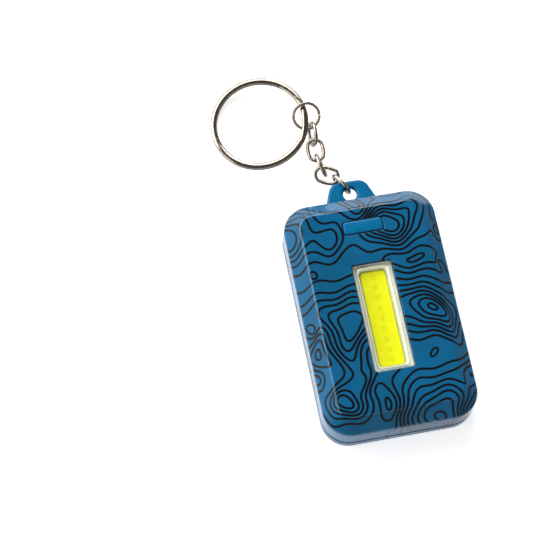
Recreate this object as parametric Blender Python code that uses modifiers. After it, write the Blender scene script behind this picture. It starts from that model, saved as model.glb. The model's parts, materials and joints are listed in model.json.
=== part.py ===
"""Keychain flashlight: a flat COB light on a short chain with a split ring.

The light lies on its back. The origin is the centre of the rear cover's flat resting face,
+Z points out of the lit front, +Y points to the chain lug and X runs across the width.
All driving dimensions below are millimetres; meshes and placements are metres.
"""
import math

import bpy
import bmesh
from mathutils import Matrix, Vector

MM = 0.001

# ---------------------------------------------------------------- driving dimensions (mm)
BODY_W = 38.0            # across
BODY_L = 59.5            # along, without the lug
BODY_T = 13.0            # resting face to lit face
CORNER_R = 6.8           # corner radius of the outline
CHAMFER_W = 3.7          # sloped border of the front, measured flat
CHAMFER_H = 3.55         # the same border, measured in height
WALL = 1.5               # side walls of both covers
CEILING = 1.4            # thickness of the front cover under its flat
FLOOR = 1.2              # thickness of the rear cover's floor
REAR_TOP = 3.2           # upper rim of the rear cover
FLANGE_T = 0.5           # rim of the middle frame, seen between the covers
FLANGE_INSET = 0.25      # how far that rim stands back from the outline
JOINT_GAP = 0.15         # gap between rims

WINDOW_W, WINDOW_L, WINDOW_Y = 10.0, 27.7, -2.4
BUTTON_W, BUTTON_L, BUTTON_Y = 10.1, 3.6, 21.0
BUTTON_TRAVEL = 0.5
BUTTON_PROUD = 0.35

LUG_T = 1.8
LUG_TIP_Y = 36.5
LUG_SOFT = 0.7           # rounding of the lug's edges and of its hole's rim
LUG_HOLE_Y, LUG_HOLE_R = 32.95, 1.6

SCREW_X, SCREW_Y = 12.8, 23.4
SCREW_R, SCREW_HEAD_R = 0.8, 1.6

CELL_R, CELL_T, CELL_Y = 10.0, 3.2, 10.6      # two 2032 coin cells, end to end
CELL_Z = 1.7

LINK_L, LINK_W, LINK_WIRE = 6.8, 4.8, 0.95
JUMP_R, JUMP_WIRE, JUMP_TILT = 3.3, 0.8, 33.0  # radius to the wire's centre; tilt in degrees
RING_OD, RING_BAND, RING_COIL = 25.0, 1.6, 0.72
RING_PITCH = 0.8         # coil to coil
SLIT = 0.15              # unwelded butt joint of a link

# ---------------------------------------------------------------- derived heights (mm)
CHAMFER_Z = BODY_T - CHAMFER_H
FLANGE_Z = REAR_TOP + JOINT_GAP
FRONT_RIM_Z = FLANGE_Z + FLANGE_T + JOINT_GAP
CEILING_Z = BODY_T - CEILING
DECK_Z, DECK_T = 5.5, 0.8                     # floor of the middle frame, above the cells
BOARD_Z, BOARD_T = 7.9, 1.0                   # main circuit board
BOARD_TOP = BOARD_Z + BOARD_T
COB_Z, COB_T = BOARD_TOP + 0.3, 0.8           # board under the light strip
PHOSPHOR_Z, PHOSPHOR_TOP = COB_Z + COB_T + 0.1, BODY_T - 2.3
LENS_TOP = BODY_T - 0.3
LUG_Z = FLANGE_Z + 0.05
LUG_MID = LUG_Z + LUG_T / 2

CORNER_STEPS = 6


# ---------------------------------------------------------------- scene and materials
def srgb(red, green, blue):
    """8-bit display colour to the linear values that Blender uses."""
    def linear(value):
        value /= 255
        return value / 12.92 if value <= 0.04045 else ((value + 0.055) / 1.055) ** 2.4
    return (linear(red), linear(green), linear(blue), 1.0)


def principled(name, colour, roughness, metallic=0.0, transmission=0.0):
    material = bpy.data.materials.new(name)
    material.use_nodes = True
    shader = material.node_tree.nodes["Principled BSDF"]
    shader.inputs["Base Color"].default_value = colour
    shader.inputs["Roughness"].default_value = roughness
    shader.inputs["Metallic"].default_value = metallic
    shader.inputs["Transmission Weight"].default_value = transmission
    material.diffuse_color = colour
    return material


for old in list(bpy.data.objects):
    bpy.data.objects.remove(old, do_unlink=True)

PARTS = bpy.data.collections.new("keychain_flashlight")
TOOLS = bpy.data.collections.new("cutters")
bpy.context.scene.collection.children.link(PARTS)
bpy.context.scene.collection.children.link(TOOLS)

PRINTED = principled("printed_shell", srgb(6, 92, 128), 0.18)
BLUE = principled("blue_plastic", srgb(2, 104, 150), 0.45)
CLEAR = principled("clear_plastic", srgb(235, 240, 238), 0.05, transmission=0.9)
WHITE = principled("white_plastic", srgb(236, 232, 214), 0.4)
PHOSPHOR = principled("phosphor", srgb(246, 240, 4), 0.5)
GREEN = principled("circuit_board", srgb(24, 84, 50), 0.4)
BLACK = principled("black_plastic", srgb(24, 24, 26), 0.5)
STEEL = principled("nickel_steel", srgb(190, 184, 174), 0.2, metallic=1.0)
CELL_STEEL = principled("cell_steel", srgb(200, 200, 196), 0.3, metallic=1.0)
BRASS = principled("contact_metal", srgb(200, 176, 110), 0.3, metallic=1.0)


# ---------------------------------------------------------------- outlines
def filleted(points, radii, steps=3):
    """An open path whose inner corners are rounded; radii has one value per point."""
    path = []
    for index, (point, radius) in enumerate(zip(points, radii)):
        if radius == 0 or index in (0, len(points) - 1):
            path.append(tuple(point))
            continue
        corner = Vector(point)
        back = (Vector(points[index - 1]) - corner).normalized()
        ahead = (Vector(points[index + 1]) - corner).normalized()
        half = back.angle(ahead) / 2
        centre = corner + (back + ahead).normalized() * (radius / math.sin(half))
        start = corner + back * (radius / math.tan(half)) - centre
        end = corner + ahead * (radius / math.tan(half)) - centre
        for step in range(steps + 1):
            arm = start.normalized().slerp(end.normalized(), step / steps) * radius
            path.append(tuple(centre + arm))
    return path


def rounded_rectangle(width, length, radius, steps=CORNER_STEPS):
    """Counter-clockwise points of a rectangle with round corners, centred on zero."""
    points = []
    for corner, (side_x, side_y) in enumerate(((1, 1), (-1, 1), (-1, -1), (1, -1))):
        for step in range(steps + 1):
            angle = math.radians(90 * (corner + step / steps))
            points.append((side_x * (width / 2 - radius) + radius * math.cos(angle),
                           side_y * (length / 2 - radius) + radius * math.sin(angle)))
    return points


def body_section(inset, z):
    """The body's outline moved inwards, as a (width, length, corner radius, height) section."""
    return (BODY_W - 2 * inset, BODY_L - 2 * inset, max(CORNER_R - inset, 0.3), z)


# ---------------------------------------------------------------- solids
def add_object(name, data, material, collection=None):
    obj = bpy.data.objects.new(name, data)
    (collection or PARTS).objects.link(obj)
    if material:
        data.materials.append(material)
    return obj


def from_bmesh(name, bm, material, collection=None):
    mesh = bpy.data.meshes.new(name)
    bmesh.ops.scale(bm, vec=(MM, MM, MM), verts=bm.verts)
    bm.to_mesh(mesh)
    bm.free()
    return add_object(name, mesh, material, collection)


def smooth(obj, angle=35.0):
    obj.data.shade_smooth()
    obj.data.set_sharp_from_angle(angle=math.radians(angle))
    return obj


def lofted(name, sections, material, centre=(0.0, 0.0), ring=False, steps=CORNER_STEPS, collection=None):
    """A body through (width, length, radius, z) sections.

    The first section is closed facing down and the last facing up, so a path that goes down
    inside and up outside is a cover, and the reverse is a tray. A ring joins last to first.
    """
    bm = bmesh.new()
    loops = []
    for width, length, radius, z in sections:
        outline = rounded_rectangle(width, length, radius, steps)
        loops.append([bm.verts.new((centre[0] + x, centre[1] + y, z)) for x, y in outline])
    pairs = list(zip(loops, loops[1:])) + ([(loops[-1], loops[0])] if ring else [])
    for low, high in pairs:
        for i in range(len(low)):
            j = (i + 1) % len(low)
            bm.faces.new((low[i], low[j], high[j], high[i]))
    if not ring:
        bm.faces.new(list(reversed(loops[0])))
        bm.faces.new(loops[-1])
    return smooth(from_bmesh(name, bm, material, collection))


def cylinders(name, places, radius, z_low, z_high, collection=None, sides=20):
    """Upright cylinders at several (x, y) places, in one object."""
    bm = bmesh.new()
    for x, y in places:
        at = Matrix.Translation((x, y, (z_low + z_high) / 2))
        bmesh.ops.create_cone(bm, cap_ends=True, segments=sides, radius1=radius, radius2=radius,
                              depth=z_high - z_low, matrix=at)
    return from_bmesh(name, bm, None, collection)


def boxes(name, corner_pairs, collection=None):
    """Axis-aligned boxes, each given by its low and high corner, in one object."""
    bm = bmesh.new()
    for low, high in corner_pairs:
        low, high = Vector(low), Vector(high)
        at = Matrix.Translation((low + high) / 2) @ Matrix.Diagonal((*(high - low), 1.0))
        bmesh.ops.create_cube(bm, size=1.0, matrix=at)
    return from_bmesh(name, bm, None, collection)


def prism(name, outline, z_low, z_high, material, collection=None):
    """A flat outline, counter-clockwise, pulled up from z_low to z_high."""
    bm = bmesh.new()
    low = [bm.verts.new((x, y, z_low)) for x, y in outline]
    face = bm.faces.new(list(reversed(low)))
    top = bmesh.ops.extrude_face_region(bm, geom=[face])
    lifted = [item for item in top["geom"] if isinstance(item, bmesh.types.BMVert)]
    bmesh.ops.translate(bm, vec=(0, 0, z_high - z_low), verts=lifted)
    bmesh.ops.recalc_face_normals(bm, faces=bm.faces)
    return from_bmesh(name, bm, material, collection)


def boolean(obj, tool, operation):
    modifier = obj.modifiers.new(f"{operation.lower()} {tool.name}", "BOOLEAN")
    modifier.operation = operation
    modifier.object = tool
    modifier.solver = "EXACT"
    tool.hide_render = True
    tool.display_type = "WIRE"


def bevelled(obj, width, segments=2, angle=40.0):
    modifier = obj.modifiers.new("soft edges", "BEVEL")
    modifier.width = width * MM
    modifier.segments = segments
    modifier.limit_method = "ANGLE"
    modifier.angle_limit = math.radians(angle)
    return obj


def turned(name, profile, material, steps=24):
    """A (radius, z) profile, listed top to bottom, turned about Z by a Screw modifier."""
    bm = bmesh.new()
    verts = [bm.verts.new((radius, 0, z)) for radius, z in profile]
    for upper, lower in zip(verts, verts[1:]):
        bm.edges.new((upper, lower))
    obj = from_bmesh(name, bm, material)
    modifier = obj.modifiers.new("turn", "SCREW")
    modifier.steps = steps
    modifier.render_steps = steps
    modifier.use_merge_vertices = True
    modifier.merge_threshold = 0.00001
    return obj


def ribbon(name, path, width, thickness, material, x=0.0):
    """A sheet-metal strip that follows a (y, z) path."""
    bm = bmesh.new()
    rows = [[bm.verts.new((x + side * width / 2, y, z)) for side in (-1, 1)] for y, z in path]
    for (a, b), (c, d) in zip(rows, rows[1:]):
        bm.faces.new((a, b, d, c))
    obj = from_bmesh(name, bm, material)
    modifier = obj.modifiers.new("sheet", "SOLIDIFY")
    modifier.thickness = thickness * MM
    modifier.offset = 0.0
    return obj


def wire(name, points, material, diameter=None, section=None):
    """A wire along a POLY path, round or with its own section curve, with closed ends."""
    curve = bpy.data.curves.new(name, "CURVE")
    curve.dimensions = "3D"
    curve.twist_mode = "Z_UP"
    curve.use_fill_caps = True
    if section:
        curve.bevel_mode = "OBJECT"
        curve.bevel_object = section
    else:
        curve.bevel_depth = diameter / 2 * MM
        curve.bevel_resolution = 2
    spline = curve.splines.new("POLY")
    spline.points.add(len(points) - 1)
    for target, point in zip(spline.points, points):
        target.co = (*(Vector(point) * MM), 1.0)
    return add_object(name, curve, material)


def section_curve(name, width, height, corner):
    """A closed flat outline with cut corners, the section of a flattened wire."""
    x, y = width / 2 * MM, height / 2 * MM
    cut = corner * MM
    corners = [(x - cut, -y), (x, cut - y), (x, y - cut), (x - cut, y),
               (cut - x, y), (-x, y - cut), (-x, cut - y), (cut - x, -y)]
    curve = bpy.data.curves.new(name, "CURVE")
    curve.dimensions = "2D"
    spline = curve.splines.new("POLY")
    spline.points.add(len(corners) - 1)
    spline.use_cyclic_u = True
    for target, (px, py) in zip(spline.points, reversed(corners)):
        target.co = (px, py, 0.0, 1.0)
    obj = add_object(name, curve, None, TOOLS)
    obj.hide_render = True
    obj.display_type = "WIRE"
    return obj


# ---------------------------------------------------------------- placing and pivots
def axes_at(position, x_axis, y_axis):
    """A matrix in metres with the given position (mm) and unit x and y axes."""
    z_axis = x_axis.cross(y_axis)
    turn = Matrix((x_axis, y_axis, z_axis)).transposed().to_4x4()
    return Matrix.Translation(Vector(position) * MM) @ turn


def pivot(name, position, axis):
    """An empty on a joint: its place is the joint's, its local Z is the joint's axis."""
    empty = bpy.data.objects.new(name, None)
    empty.empty_display_size = 0.003
    empty.matrix_world = (Matrix.Translation(Vector(position) * MM)
                          @ Vector(axis).to_track_quat("Z", "Y").to_matrix().to_4x4())
    PARTS.objects.link(empty)
    return empty


def hang(obj, empty, matrix=None):
    """Place obj in the world and parent it to its joint's empty."""
    obj.matrix_world = matrix or Matrix.Identity(4)
    obj.parent = empty
    obj.matrix_parent_inverse = empty.matrix_world.inverted()


SCREWS = [(sx * SCREW_X, sy * SCREW_Y) for sy in (1, -1) for sx in (-1, 1)]


# ---------------------------------------------------------------- front cover
def make_front_cover():
    outside = filleted([(0, FRONT_RIM_Z), (0, CHAMFER_Z), (CHAMFER_W, BODY_T), (6.3, BODY_T)],
                       [0, 1.0, 1.4, 0])
    inside_low = CHAMFER_Z - 0.6
    inside = [(CHAMFER_W + 0.7, CEILING_Z), (WALL, inside_low), (WALL, FRONT_RIM_Z)]
    path = [body_section(inset, z) for inset, z in inside + outside]
    cover = lofted("front_cover", path, PRINTED)

    bosses = cylinders("cover_bosses", SCREWS, 2.1, FRONT_RIM_Z + 0.3, CEILING_Z + 0.4, TOOLS)
    boolean(cover, bosses, "UNION")
    holes = cylinders("cover_screw_holes", SCREWS, SCREW_R + 0.12, FRONT_RIM_Z - 1, 9.6, TOOLS, 16)
    boolean(cover, holes, "DIFFERENCE")

    window = lofted("window_cutter", [(WINDOW_W, WINDOW_L, 0.5, z) for z in (CEILING_Z - 2, BODY_T + 2)],
                    None, (0, WINDOW_Y), steps=2, collection=TOOLS)
    boolean(cover, window, "DIFFERENCE")
    button = lofted("button_cutter", [(BUTTON_W, BUTTON_L, 0.8, z) for z in (CEILING_Z - 2, BODY_T + 2)],
                    None, (0, BUTTON_Y), steps=3, collection=TOOLS)
    boolean(cover, button, "DIFFERENCE")
    notch = boxes("lug_notch", [((-8.3, BODY_L / 2 - 4, FRONT_RIM_Z - 1),
                                 (8.3, BODY_L / 2 + 2, LUG_Z + LUG_T + 0.3))], TOOLS)
    boolean(cover, notch, "DIFFERENCE")


# ---------------------------------------------------------------- rear cover and screws
def make_rear_cover():
    outside = filleted([(6.0, 0), (0, 0), (0, REAR_TOP)], [0, 1.1, 0])
    inside = [(WALL, REAR_TOP), (WALL, FLOOR)]
    path = [body_section(inset, z) for inset, z in outside + inside]
    cover = lofted("rear_cover", path, PRINTED)
    bosses = cylinders("rear_bosses", SCREWS, 2.4, FLOOR - 0.4, REAR_TOP + 0.4, TOOLS)
    boolean(cover, bosses, "UNION")
    pockets = cylinders("head_pockets", SCREWS, SCREW_HEAD_R + 0.25, -1, FLOOR + 0.2, TOOLS)
    boolean(cover, pockets, "DIFFERENCE")
    shanks = cylinders("shank_holes", SCREWS, SCREW_R + 0.25, -1, REAR_TOP + 2, TOOLS, 16)
    boolean(cover, shanks, "DIFFERENCE")


def make_screws():
    """Pan-head tapping screws, heads down in the rear cover's pockets."""
    head_z, head_t, tip_z = 0.25, 0.9, 9.0
    arm, depth = 0.22, 0.5
    for number, (x, y) in enumerate(SCREWS, 1):
        profile = [(0, tip_z), (0.25, tip_z - 0.2), (SCREW_R, tip_z - 1.6), (SCREW_R, head_z + head_t),
                   (SCREW_HEAD_R, head_z + head_t), (SCREW_HEAD_R, head_z + 0.35),
                   (SCREW_HEAD_R - 0.35, head_z), (0, head_z)]
        screw = turned(f"screw_{number}", profile, STEEL, steps=16)
        screw.location = (x * MM, y * MM, 0)
        cross = boxes(f"cross_{number}", [((-1.0, -arm, head_z - 1), (1.0, arm, head_z + depth))], TOOLS)
        bar = boxes(f"cross_bar_{number}", [((-arm, -1.0, head_z - 1), (arm, 1.0, head_z + depth))], TOOLS)
        for tool in (cross, bar):
            tool.location = screw.location
            boolean(screw, tool, "DIFFERENCE")


# ---------------------------------------------------------------- middle frame with the lug
def make_mid_frame():
    flange_top = FLANGE_Z + FLANGE_T
    ring_out, ring_in, ring_top = WALL + 0.4, WALL + 1.6, 7.4
    path = [(ring_in, DECK_Z), (ring_in, FLANGE_Z), (FLANGE_INSET, FLANGE_Z), (FLANGE_INSET, flange_top),
            (ring_out, flange_top), (ring_out, ring_top), (ring_in, ring_top), (ring_in, DECK_Z + DECK_T)]
    frame = lofted("mid_frame", [body_section(inset, z) for inset, z in path], BLUE)

    base_y, base_half, tip_half, tip_round = BODY_L / 2 - 2.4, 7.9, 4.3, 3.0
    outline = filleted([(0, base_y), (base_half, base_y), (tip_half, LUG_TIP_Y), (-tip_half, LUG_TIP_Y),
                        (-base_half, base_y), (0, base_y)], [0, 0, tip_round, tip_round, 0, 0], steps=5)[1:-1]
    lug = prism("lug_blank", outline, LUG_Z, LUG_Z + LUG_T, None, TOOLS)
    hole = cylinders("lug_hole", [(0, LUG_HOLE_Y)], LUG_HOLE_R, LUG_Z - 2, LUG_Z + LUG_T + 2, TOOLS)
    boolean(lug, hole, "DIFFERENCE")
    bevelled(lug, LUG_SOFT, segments=3)
    boolean(frame, lug, "UNION")

    wells = cylinders("boss_wells", SCREWS, 2.6, DECK_Z - 1, DECK_Z + DECK_T + 3, TOOLS)
    boolean(frame, wells, "DIFFERENCE")
    slots = boxes("contact_slots", [((-3, side * 21.9 - 0.7, DECK_Z - 1), (3, side * 21.9 + 0.7, 7.0))
                                    for side in (1, -1)], TOOLS)
    boolean(frame, slots, "DIFFERENCE")
    ribs = boxes("board_ribs", [((side * 7 - 0.8, -20, DECK_Z + 0.4), (side * 7 + 0.8, 20, BOARD_Z - 0.3))
                                for side in (1, -1)], TOOLS)
    boolean(frame, ribs, "UNION")


# ---------------------------------------------------------------- light strip and window
def make_light():
    at = (0, WINDOW_Y)
    lofted("cob_board", [(9.0, 27.0, 0.4, z) for z in (COB_Z, COB_Z + COB_T)], GREEN, at, steps=2)
    lofted("cob_phosphor", [(6.3, 24.5, 1.0, PHOSPHOR_Z), (6.3, 24.5, 1.0, PHOSPHOR_TOP - 0.2),
                            (5.9, 24.1, 0.8, PHOSPHOR_TOP)], PHOSPHOR, at)
    low, high = PHOSPHOR_Z, LENS_TOP - 0.95
    lofted("window_reflector", [(7.7, 25.7, 1.2, low), (7.7, 25.7, 1.2, high),
                                (7.3, 25.3, 1.2, high), (6.7, 24.9, 1.1, low)],
           WHITE, at, ring=True)
    outer_w, outer_l, flange = WINDOW_W - 0.4, WINDOW_L - 0.4, 1.2
    flange_low, flange_high = CEILING_Z - 0.6, CEILING_Z - 0.15
    under = LENS_TOP - 0.65
    lofted("lens_window", [(8.2, 26.2, 1.2, under), (8.2, 26.2, 1.2, flange_low),
                           (outer_w + 2 * flange, outer_l + 2 * flange, 1.0, flange_low),
                           (outer_w + 2 * flange, outer_l + 2 * flange, 1.0, flange_high),
                           (outer_w, outer_l, 0.5, flange_high), (outer_w, outer_l, 0.5, LENS_TOP - 0.15),
                           (outer_w - 0.3, outer_l - 0.3, 0.4, LENS_TOP)], CLEAR, at, steps=4)


# ---------------------------------------------------------------- button and switch
def make_button():
    at = (0, BUTTON_Y)
    flange_low, flange_high = CEILING_Z - 0.5, CEILING_Z - 0.1
    cap_w, cap_l, cap_top = BUTTON_W - 0.4, BUTTON_L - 0.4, BODY_T + BUTTON_PROUD
    button = lofted("push_button", [(11.6, 4.8, 0.8, flange_low), (11.6, 4.8, 0.8, flange_high),
                                    (cap_w, cap_l, 0.7, flange_high), (cap_w, cap_l, 0.7, cap_top - 0.3),
                                    (cap_w - 0.2, cap_l - 0.2, 0.65, cap_top - 0.1),
                                    (cap_w - 0.7, cap_l - 0.7, 0.5, cap_top)], BLUE, at, steps=4)
    press = pivot("button_press", (0, BUTTON_Y, cap_top), (0, 0, -1))
    hang(button, press)

    body_low, body_high, well = BOARD_TOP + 0.15, 10.2, 2.4
    lofted("switch_body", [(6.0, 3.6, 0.3, body_low), (6.0, 3.6, 0.3, body_high),
                           (well, well, well / 2 - 0.01, body_high),
                           (well, well, well / 2 - 0.01, body_low + 0.3)], BLACK, at, steps=4)
    lid_low, lid_high = body_high + 0.06, body_high + 0.26
    lofted("switch_lid", [(5.8, 3.4, 0.3, lid_low), (5.8, 3.4, 0.3, lid_high),
                          (well, well, well / 2 - 0.01, lid_high), (well, well, well / 2 - 0.01, lid_low)],
           STEEL, at, ring=True, steps=4)
    stem_d, stem_top = 1.9, flange_low - 0.1
    stem = lofted("switch_stem", [(stem_d, stem_d, stem_d / 2 - 0.01, z) for z in (9.95, stem_top)],
                  BLACK, at, steps=4)
    hang(stem, pivot("stem_press", (0, BUTTON_Y, stem_top), (0, 0, -1)))


# ---------------------------------------------------------------- electronics and cells
def make_electronics():
    lofted("main_board", [(20.6, 46.0, 1.0, z) for z in (BOARD_Z, BOARD_TOP)], GREEN, steps=3)
    low = BOARD_TOP + 0.15
    lofted("driver_chip", [(3.9, 4.9, 0.1, low), (3.9, 4.9, 0.1, low + 0.9), (3.7, 4.7, 0.1, low + 1.1)],
           BLACK, (7.6, 15.0), steps=1)
    for number, x in enumerate((-8.0, -6.0), 1):
        lofted(f"resistor_{number}", [(1.25, 2.0, 0.1, z) for z in (low, low + 0.5)], BLACK,
               (x, 15.5), steps=1)


def make_cells():
    for number, side in enumerate((1, -1), 1):
        can_low, cap_top = CELL_Z, CELL_Z + CELL_T
        profile = [(0, cap_top), (8.2, cap_top), (8.5, cap_top - 0.35), (9.6, cap_top - 0.35),
                   (CELL_R, cap_top - 0.7), (CELL_R, can_low + 0.3), (CELL_R - 0.3, can_low), (0, can_low)]
        cell = turned(f"coin_cell_{number}", profile, CELL_STEEL, steps=32)
        cell.location = (0, side * CELL_Y * MM, 0)
    tongue_z, leg_top = CELL_Z + CELL_T + 0.3, BOARD_Z - 0.3
    for name, side in (("contact_positive", 1), ("contact_negative", -1)):
        path = filleted([(side * 8.0, tongue_z), (side * 21.9, tongue_z), (side * 21.9, leg_top)],
                        [0, 0.5, 0])
        ribbon(name, path, 4.0, 0.2, BRASS)
    ribbon("cell_bridge", [(-12, CELL_Z - 0.25), (12, CELL_Z - 0.25)], 5.0, 0.2, BRASS)


# ---------------------------------------------------------------- chain and rings
def link_path():
    """Centreline of one oval link: long axis X, width Y, butt joint on one long side."""
    radius = (LINK_W - LINK_WIRE) / 2
    straight = (LINK_L - LINK_W) / 2
    arc_steps = 11
    path = [(-SLIT / 2, -radius, 0)]
    for end in (-1, 1):
        for step in range(arc_steps + 1):
            angle = math.radians(-90 - 180 * step / arc_steps) if end < 0 else \
                math.radians(90 - 180 * step / arc_steps)
            path.append((end * straight + radius * math.cos(angle), radius * math.sin(angle), 0))
    path.append((SLIT / 2, -radius, 0))
    return path


def link_axes(heading, roll):
    """Unit long and width axes of a link that points along heading, rolled from lying flat."""
    along = Vector(heading).normalized()
    flat = Vector((0, 0, 1)).cross(along).normalized()
    across = Matrix.Rotation(math.radians(roll), 3, along) @ flat
    return along, across


PIN_SPAN = LINK_L - LINK_WIRE                  # between the wire centres of a link's two ends


def make_chain():
    """Five links from the lug: the odd ones stand on edge, and turn on their own end wires."""
    radius = (LINK_W - LINK_WIRE) / 2
    along_5, across_5 = link_axes((-0.51, 0.86, -0.18), 85)
    lug_pin = Vector((0.0, 33.72, LUG_MID + 0.34))
    pin_54 = lug_pin + along_5 * PIN_SPAN
    along_4, across_4 = link_axes((-0.88, 0.475, -0.14), -20)
    centre_4 = pin_54 + along_4 * 1.75
    pin_43 = centre_4 + along_4 * 0.35
    along_3, across_3 = link_axes((-0.17, 0.98, -0.09), 72)
    pin_32 = pin_43 + along_3 * PIN_SPAN
    along_2, across_2 = link_axes((0.03, 1.0, -0.03), -6)
    centre_2 = pin_32 + along_2 * 1.6
    pin_21 = centre_2 + along_2 * 1.6
    along_1, across_1 = link_axes((0.03, 1.0, 0.0), 108)
    pin_10 = pin_21 + along_1 * PIN_SPAN

    placed = [
        ("chain_link_5", along_5, across_5, lug_pin + along_5 * PIN_SPAN / 2,
         "lug_pivot", lug_pin + along_5 * radius, -across_5.cross(along_5)),
        ("chain_link_4", along_4, across_4, centre_4, "link_4_pivot", pin_54, across_5),
        ("chain_link_3", along_3, across_3, pin_43 + along_3 * PIN_SPAN / 2,
         "link_3_pivot", pin_43, across_3),
        ("chain_link_2", along_2, across_2, centre_2, "link_2_pivot", pin_32, across_3),
        ("chain_link_1", along_1, across_1, pin_21 + along_1 * PIN_SPAN / 2,
         "link_1_pivot", pin_21, across_1),
    ]
    for name, along, across, centre, pivot_name, place, axis in placed:
        link = wire(name, link_path(), STEEL, diameter=LINK_WIRE)
        hang(link, pivot(pivot_name, place, axis), axes_at(centre, along, across))
    return pin_10, across_1


def circle_path(radius, steps=30):
    """An almost closed circle in the XY plane, with a butt joint at -X."""
    half_slit = math.asin(SLIT / 2 / radius)
    span = math.tau - 2 * half_slit
    turn = [math.pi + half_slit + span * step / steps for step in range(steps + 1)]
    return [(radius * math.cos(angle), radius * math.sin(angle), 0) for angle in turn]


def split_ring_path(radius, steps=80, jog=0.7):
    """Two turns, one on the other, with one step up between them on the far side."""
    path = []
    for step in range(steps + 1):
        angle = jog / 2 + (2 * math.tau - jog) * step / steps
        rise = min(max((angle - math.tau + jog / 2) / jog, 0.0), 1.0)
        height = RING_PITCH * (rise * rise * (3 - 2 * rise) - 0.5)
        start = math.radians(165)
        path.append((radius * math.cos(angle + start), radius * math.sin(angle + start), height))
    return path


def make_rings(link_pin, link_axis):
    """The jump ring hangs on the last link, and the split ring passes through it."""
    ring_radius = (RING_OD - RING_BAND) / 2
    to_ring = Vector((-1.0, 0.06, 0.0)).normalized()       # from the jump ring to the split ring's centre
    band_way = to_ring.cross(Vector((0, 0, 1)))            # the band's direction inside the jump ring
    tilt = Matrix.Rotation(math.radians(JUMP_TILT), 3, -to_ring)
    steep = tilt @ band_way
    jump_centre = link_pin + link_axis * 0.6 + steep * 1.8 + to_ring * 1.15
    jump = wire("jump_ring", circle_path(JUMP_R), STEEL, diameter=JUMP_WIRE)
    hang(jump, pivot("jump_ring_pivot", link_pin, link_axis), axes_at(jump_centre, to_ring, -steep))

    band_centre = jump_centre + to_ring * 0.35
    lowest = (RING_PITCH + RING_COIL) / 2 + 0.05
    rest_tilt = math.asin((band_centre.z - lowest) / (2 * ring_radius))
    outward = Matrix.Rotation(-rest_tilt, 3, band_way) @ to_ring
    section = section_curve("band_section", RING_BAND, RING_COIL, 0.2)
    ring = wire("split_ring", split_ring_path(ring_radius), STEEL, section=section)
    hang(ring, pivot("split_ring_pivot", band_centre, band_way),
         axes_at(band_centre + outward * ring_radius, outward, -band_way))


make_front_cover()
make_rear_cover()
make_screws()
make_mid_frame()
make_light()
make_button()
make_electronics()
make_cells()
last_pin, last_axis = make_chain()
make_rings(last_pin, last_axis)
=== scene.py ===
# %% [markdown]
# # A keychain flashlight, dressed for the camera
# The part is a flat flashlight that fits in a palm: a printed two-part shell, a light strip behind a
# clear window, one push button, and a short chain that ends in a split ring. Its sizes, bodies and
# joints come packed from CAD as a fixed frame. This lesson builds the visible pieces around that frame,
# gives each its finish, and sets up a plain white table with soft light.

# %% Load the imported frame
import json
import math
from functools import partial

import bmesh
import bpy
import numpy as np
from mathutils import Matrix, Vector


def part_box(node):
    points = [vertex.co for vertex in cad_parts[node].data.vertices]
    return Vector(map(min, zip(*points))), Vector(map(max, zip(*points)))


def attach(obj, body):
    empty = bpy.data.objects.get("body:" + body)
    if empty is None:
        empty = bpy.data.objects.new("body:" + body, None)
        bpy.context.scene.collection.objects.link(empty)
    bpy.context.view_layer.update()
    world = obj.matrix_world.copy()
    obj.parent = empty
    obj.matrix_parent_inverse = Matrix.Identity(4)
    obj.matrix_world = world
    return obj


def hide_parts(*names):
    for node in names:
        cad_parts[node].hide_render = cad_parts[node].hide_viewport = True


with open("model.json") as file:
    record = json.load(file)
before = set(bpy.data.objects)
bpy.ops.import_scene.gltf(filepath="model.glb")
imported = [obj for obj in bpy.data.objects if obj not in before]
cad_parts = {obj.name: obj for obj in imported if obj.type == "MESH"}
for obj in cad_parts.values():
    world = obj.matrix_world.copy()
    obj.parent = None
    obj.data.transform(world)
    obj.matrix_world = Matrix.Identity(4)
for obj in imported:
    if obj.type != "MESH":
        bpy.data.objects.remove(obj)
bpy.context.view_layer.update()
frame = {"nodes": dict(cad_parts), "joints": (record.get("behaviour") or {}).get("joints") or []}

MM = 0.001

# %% [markdown]
# ## Main measures
# Shapes are drawn in millimetres in the frame's own axes: the back lies on z = 0, the light faces up
# along Z and the chain leaves along Y. Outer sizes are read from the CAD pieces, so that the visible
# shell can't drift away from them. The rest are the shell's own proportions.

# %% Main measures
def box_mm(node):
    """Low and high corner of a CAD piece."""
    return [[v / MM for v in corner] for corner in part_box(node)]


SHELL_LOW, SHELL_HIGH = box_mm("front_cover")
BODY_W, BODY_L, BODY_T = SHELL_HIGH[0] - SHELL_LOW[0], SHELL_HIGH[1] - SHELL_LOW[1], SHELL_HIGH[2]
RIM_Z = SHELL_LOW[2]                    # where the front cover begins
CORNER_R, SLOPE_W, SLOPE_H = 6.8, 3.7, 3.55
WALL, CEILING, FLOOR = 1.5, 1.4, 1.2
WINDOW_W, WINDOW_L, WINDOW_Y = 10.0, 27.7, -2.4
BUTTON_W, BUTTON_L, BUTTON_Y = 10.1, 3.6, 21.0
PLAY = 0.4                              # how much smaller an insert is than its opening
DECK_Z = 5.5                            # inner ledge of the middle frame
SCREW_X, SCREW_Y = 12.8, 23.4
SCREW_PLACES = [(side * SCREW_X, end * SCREW_Y) for end in (1, -1) for side in (-1, 1)]
print("shell, mm:", [round(v, 2) for v in (BODY_W, BODY_L, BODY_T)])

# %% [markdown]
# ## Laying out nodes in code
# Materials and Geometry Nodes trees are both made of nodes, and a long tree is hard to read when each
# node takes five lines. One helper adds a node, links the sockets it is given and sets the plain
# numbers. The others add theirs to the tree that their first linked value is in, so that a chain of
# maths reads almost like its formula.

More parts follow.
